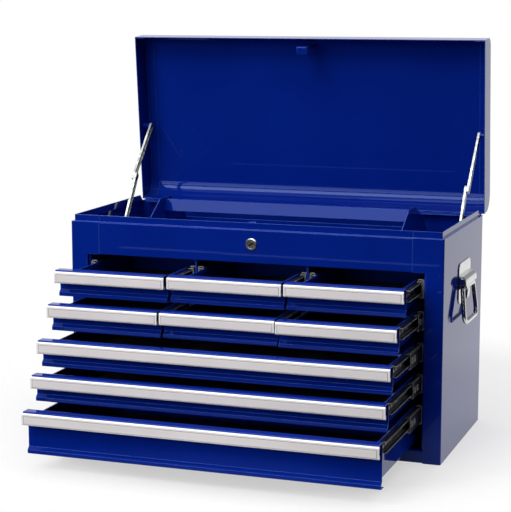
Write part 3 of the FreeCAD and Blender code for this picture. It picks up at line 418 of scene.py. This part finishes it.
def finish_of(node):
    """Finish of a CAD node."""
    if node.endswith("_pull"):
        return FINISH["satin_aluminium"]
    if node.startswith("stays") or node == "hinge_pin":
        return FINISH["bright_zinc"]
    if "slide" in node and node != "slide_posts":
        return FINISH["dark_zinc"]
    if node.startswith("lock"):
        return FINISH["turned_chrome"]
    if node.startswith("handle"):
        return FINISH["chrome"]
    return FINISH["blue_paint"]


def dress_frame():
    """Give each CAD node its finish."""
    for name, piece in frame["nodes"].items():
        piece.data.materials.clear()
        piece.data.materials.append(finish_of(name))


# Forms
def add_plate(shape, place, size, bevel):
    """Add a thin block at a place, with bevelled edges."""
    bmesh.ops.create_cube(shape, size=1, matrix=place @ Matrix.Diagonal((*size, 1)))
    bmesh.ops.bevel(shape, geom=shape.edges[:], offset=bevel, segments=2, profile=0.5, affect="EDGES")


def add_strip(shape, low, high, bevel):
    """Add a thin block between two corners, with bevelled edges."""
    middle = (Vector(high) + Vector(low)) / 2
    add_plate(shape, Matrix.Translation(middle), Vector(high) - Vector(low), bevel)


def about_x(middle, out, radius, angle):
    """Point at an angle round a line along X."""
    return Vector(middle) + Vector((out, radius * math.cos(angle), radius * math.sin(angle)))


def add_turned(shape, base, outward, outline, segments=20):
    """Add a form turned about X; the outline runs through (radius, distance out)."""
    turns = [2 * math.pi * step / segments for step in range(segments)]
    rings = []
    for radius, out in outline:
        rings.append([shape.verts.new(about_x(base, outward * out, radius, turn)) for turn in turns])
    for near, far in zip(rings, rings[1:]):
        for step in range(segments):
            after = (step + 1) % segments
            shape.faces.new((near[step], near[after], far[after], far[step]))
    shape.faces.new(rings[0])
    shape.faces.new(rings[-1])


def dome(radius, height, steps=4):
    """Outline of a low domed head."""
    angles = [math.pi / 2 * step / (steps + 0.5) for step in range(steps + 1)]
    return [(radius * math.cos(angle), height * math.sin(angle)) for angle in angles]


def add_ring(shape, middle, radius, wire, segments=28, sides=8):
    """Add a ring of round wire about X."""
    loops = []
    for step in range(segments):
        turn = 2 * math.pi * step / segments
        loop = []
        for side in range(sides):
            angle = 2 * math.pi * side / sides
            away = radius + wire * math.cos(angle)
            loop.append(shape.verts.new(about_x(middle, wire * math.sin(angle), away, turn)))
        loops.append(loop)
    for here, after in zip(loops, loops[1:] + loops[:1]):
        for side in range(sides):
            other = (side + 1) % sides
            shape.faces.new((here[side], here[other], after[other], after[side]))


# Pieces
def new_piece(name, build, finish, body):
    """Make a mesh piece that moves with a body."""
    mesh = bpy.data.meshes.new(name)
    shape = bmesh.new()
    build(shape)
    bmesh.ops.recalc_face_normals(shape, faces=shape.faces)
    shape.to_mesh(mesh)
    shape.free()
    mesh.materials.append(FINISH[finish])
    piece = bpy.data.objects.new(name, mesh)
    bpy.context.scene.collection.objects.link(piece)
    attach(piece, body)


def drawer_mats():
    """A ribbed mat on each drawer's floor."""
    for number in DRAWERS:
        low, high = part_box(f"drawer_{number}_box")
        runner_low, runner_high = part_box(f"drawer_{number}_slides")
        floor = low.z + DRAWER_SHEET
        left = runner_low.x + RUNNER_LIP + DRAWER_HEM + MAT_MARGIN
        right = runner_high.x - RUNNER_LIP - DRAWER_HEM - MAT_MARGIN
        front = low.y + FACE_DEPTH + MAT_MARGIN
        back = high.y - DRAWER_SHEET - MAT_MARGIN

        def build(shape):
            add_strip(shape, (left, front, floor), (right, back, floor + MAT_SHEET),
                      MAT_SHEET * BEVEL_SHARE)

        new_piece(f"drawer_{number}_mat", build, "black_mat", f"drawer_{number}")


def label_strips():
    """A blank strip in a fine groove on the face of each pull."""
    for number in DRAWERS:
        low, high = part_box(f"drawer_{number}_pull")

        def strip(shape, margin, proud):
            add_strip(shape,
                      (low.x + STRIP_END - margin, low.y - proud, low.z + STRIP_FOOT - margin / 2),
                      (high.x - STRIP_END + margin, low.y, high.z - STRIP_TOP + margin),
                      STRIP_PROUD * BEVEL_SHARE)

        new_piece(f"drawer_{number}_groove", lambda shape: strip(shape, GROOVE, STRIP_PROUD / 2),
                  "groove_line", f"drawer_{number}")
        new_piece(f"drawer_{number}_strip", lambda shape: strip(shape, 0, STRIP_PROUD),
                  "label_strip", f"drawer_{number}")


def runner_screws():
    """Screw heads that hold the drawer members of the slides."""
    for number in DRAWERS:
        low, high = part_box(f"drawer_{number}_slides")
        level = (low.z + high.z) / 2

        def build(shape):
            webs = ((-1, low.x + RUNNER_LIP - RUNNER_SHEET), (1, high.x - RUNNER_LIP + RUNNER_SHEET))
            for outward, web in webs:
                for setback, radius in SCREWS:
                    add_turned(shape, (web, low.y + setback, level), outward, dome(radius, SCREW_HEIGHT))

        new_piece(f"drawer_{number}_screws", build, "worn_zinc", f"drawer_{number}")


def slide_eyelets():
    """Raised rims round the holes of the intermediate members."""
    for number in DRAWERS:
        low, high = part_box(f"drawer_{number}_slide_mids")
        level = (low.z + high.z) / 2

        def build(shape):
            for web in (low.x, high.x):
                for setback in EYELETS:
                    add_ring(shape, (web, low.y + setback, level), EYELET_RADIUS, EYELET_WIRE)

        new_piece(f"drawer_{number}_eyelets", build, "worn_zinc", f"drawer_{number}_mids")


def joint_place(name):
    """Place of a joint."""
    for joint in frame["joints"]:
        if joint["name"] == name:
            return Vector(joint["pos_m"])
    raise RuntimeError(f"no joint {name}")


def key_slot_shadow():
    """Dark plate over the key slot: painted shade where the slot is."""
    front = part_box("lock_plug")[0].y
    middle = joint_place("lock_turn")
    middle.y = front - SLOT_SHADE_PROUD / 2
    place = Matrix.Translation(middle) @ Matrix.Rotation(math.radians(SLOT_TURN), 4, "Y")

    def build(shape):
        add_plate(shape, place, (SLOT_SHADE_LONG, SLOT_SHADE_PROUD, SLOT_SHADE_WIDE), SLOT_SHADE_PROUD * BEVEL_SHARE)

    # The plate is painted shade in the key slot.
    new_piece("key_slot_shadow", build, "key_slot_shade", "lock_plug_body")


def elbow_place():
    """Where the two links of a stay meet while the lid stands open."""
    base = joint_place("stays_lower_pivot")
    line = joint_place("stays_upper_pivot") - base
    along = (STAY_LOWER ** 2 - STAY_UPPER ** 2 + line.length_squared) / (2 * line.length)
    aside = math.sqrt(STAY_LOWER ** 2 - along ** 2)
    unit = line.normalized()
    return base + unit * along + Vector((0, -unit.z, unit.y)) * aside


def reach_of(node, choose):
    """Distance of a pair of pieces from the middle, by min or max."""
    return choose(abs(vertex.co.x) for vertex in frame["nodes"][node].data.vertices)


def stay_rivets():
    """Rivet heads at the elbows of the stays, one on each link."""
    elbow = elbow_place()
    ends = (("stays_upper", "stays_up", max, 1), ("stays_lower", "stays_low", min, -1))
    for node, body, choose, outward in ends:
        face = reach_of(node, choose)

        def build(shape):
            for side in (-1, 1):
                add_turned(shape, (side * face, elbow.y, elbow.z), side * outward,
                           dome(RIVET_RADIUS, RIVET_HEIGHT))

        new_piece(f"{node}_rivets", build, "bright_zinc", body)


# Studio
def studio_floor():
    """Plain pale floor that fades out round its edge."""
    mesh = bpy.data.meshes.new("studio_floor")
    shape = bmesh.new()
    bmesh.ops.create_circle(shape, cap_ends=True, segments=FLOOR_SIDES, radius=FLOOR_RADIUS)
    shape.to_mesh(mesh)
    shape.free()
    plane = bpy.data.objects.new("studio_floor", mesh)
    plane.location.y = FLOOR_BACK
    bpy.context.scene.collection.objects.link(plane)
    m = Nodes("studio_floor")
    colour = m.ramp(m.noise(3.0), (0.74, 0.74, 0.745), (0.76, 0.76, 0.765))
    m.link(colour, m.shader.inputs["Base Color"])
    m.set(roughness=0.9, specular=0.0)
    away = m.add("ShaderNodeVectorMath", operation="LENGTH")
    m.link(m.place, away.inputs[0])
    fade = m.span(away.outputs["Value"], 0.0, 1.0, start=FLOOR_FADE, end=FLOOR_RADIUS)
    camera, mirrored = m.rays()
    glow = m.span(m.combine("MAXIMUM", camera, mirrored), 0.0, FLOOR_GLOW, start=0.0, end=1.0)
    white = m.add("ShaderNodeEmission").outputs["Emission"]
    pale = m.mix_shaders(glow, m.shader.outputs["BSDF"], white)
    clear = m.mix_shaders(fade, pale, m.add("ShaderNodeBsdfTransparent").outputs["BSDF"])
    m.link(clear, m.tree.nodes["Material Output"].inputs["Surface"])
    mesh.materials.append(m.material)


def studio_world():
    """White behind and high above the chest, with dark flags between and on the camera's side."""
    world = bpy.data.worlds.new("studio")
    bpy.context.scene.world = world
    world.use_nodes = True
    world.node_tree.nodes.clear()
    w = Tree(world.node_tree)
    direction = w.add("ShaderNodeTexCoord").outputs["Generated"]
    height = w.part(direction, "Z")
    back = w.span(w.part(direction, "Y"), 0.0, 1.0, *BACK_RISE, curve="SMOOTHSTEP")
    low = w.span(height, 1.0, 0.0, *BACK_FALL, curve="SMOOTHSTEP")
    behind = w.combine("MULTIPLY", back, low)
    above = w.span(height, 0.0, 1.0, *ABOVE_RISE, curve="SMOOTHSTEP")
    level = w.span(w.combine("MAXIMUM", behind, above), FRONT_DARK, 1.0, start=0.0, end=1.0)
    around = w.add("ShaderNodeBackground")
    white = w.add("ShaderNodeBackground")
    for background in (around, white):
        background.inputs["Color"].default_value = (1, 1, 1, 1)
    w.link(level, around.inputs["Strength"])
    camera, mirrored = w.rays()
    shown = w.combine("MAXIMUM", camera, w.combine("MULTIPLY", mirrored, behind))
    mixed = w.mix_shaders(shown, around.outputs["Background"], white.outputs["Background"])
    w.link(mixed, w.add("ShaderNodeOutputWorld").inputs["Surface"])


def studio_lights():
    """Soft light from above and from the left front, and two strips that light slopes and folds."""
    for name, (place, target, size, power) in LIGHTS.items():
        light = bpy.data.lights.new(name, "AREA")
        light.shape = "RECTANGLE"
        light.size, light.size_y = size
        light.energy = power
        lamp = bpy.data.objects.new(name, light)
        lamp.location = place
        lamp.rotation_euler = (Vector(target) - Vector(place)).to_track_quat("-Z", "Y").to_euler()
        bpy.context.scene.collection.objects.link(lamp)


def photo_camera():
    """Camera of the photograph."""
    data = bpy.data.cameras.new("photo_camera")
    data.sensor_fit = "HORIZONTAL"
    data.sensor_width = SENSOR
    data.lens = FOCAL_PIXELS * SENSOR / PHOTO_WIDTH
    data.clip_start, data.clip_end = CAMERA_RANGE
    eye = bpy.data.objects.new("photo_camera", data)
    eye.location = CAMERA_PLACE
    eye.rotation_euler = (math.radians(90 - CAMERA_DOWN), 0, math.radians(CAMERA_YAW))
    bpy.context.scene.collection.objects.link(eye)
    bpy.context.scene.camera = eye


dress_frame()
drawer_mats()
label_strips()
runner_screws()
slide_eyelets()
key_slot_shadow()
stay_rivets()
studio_floor()
studio_world()
studio_lights()
photo_camera()
bpy.context.scene.view_settings.view_transform = "Standard"
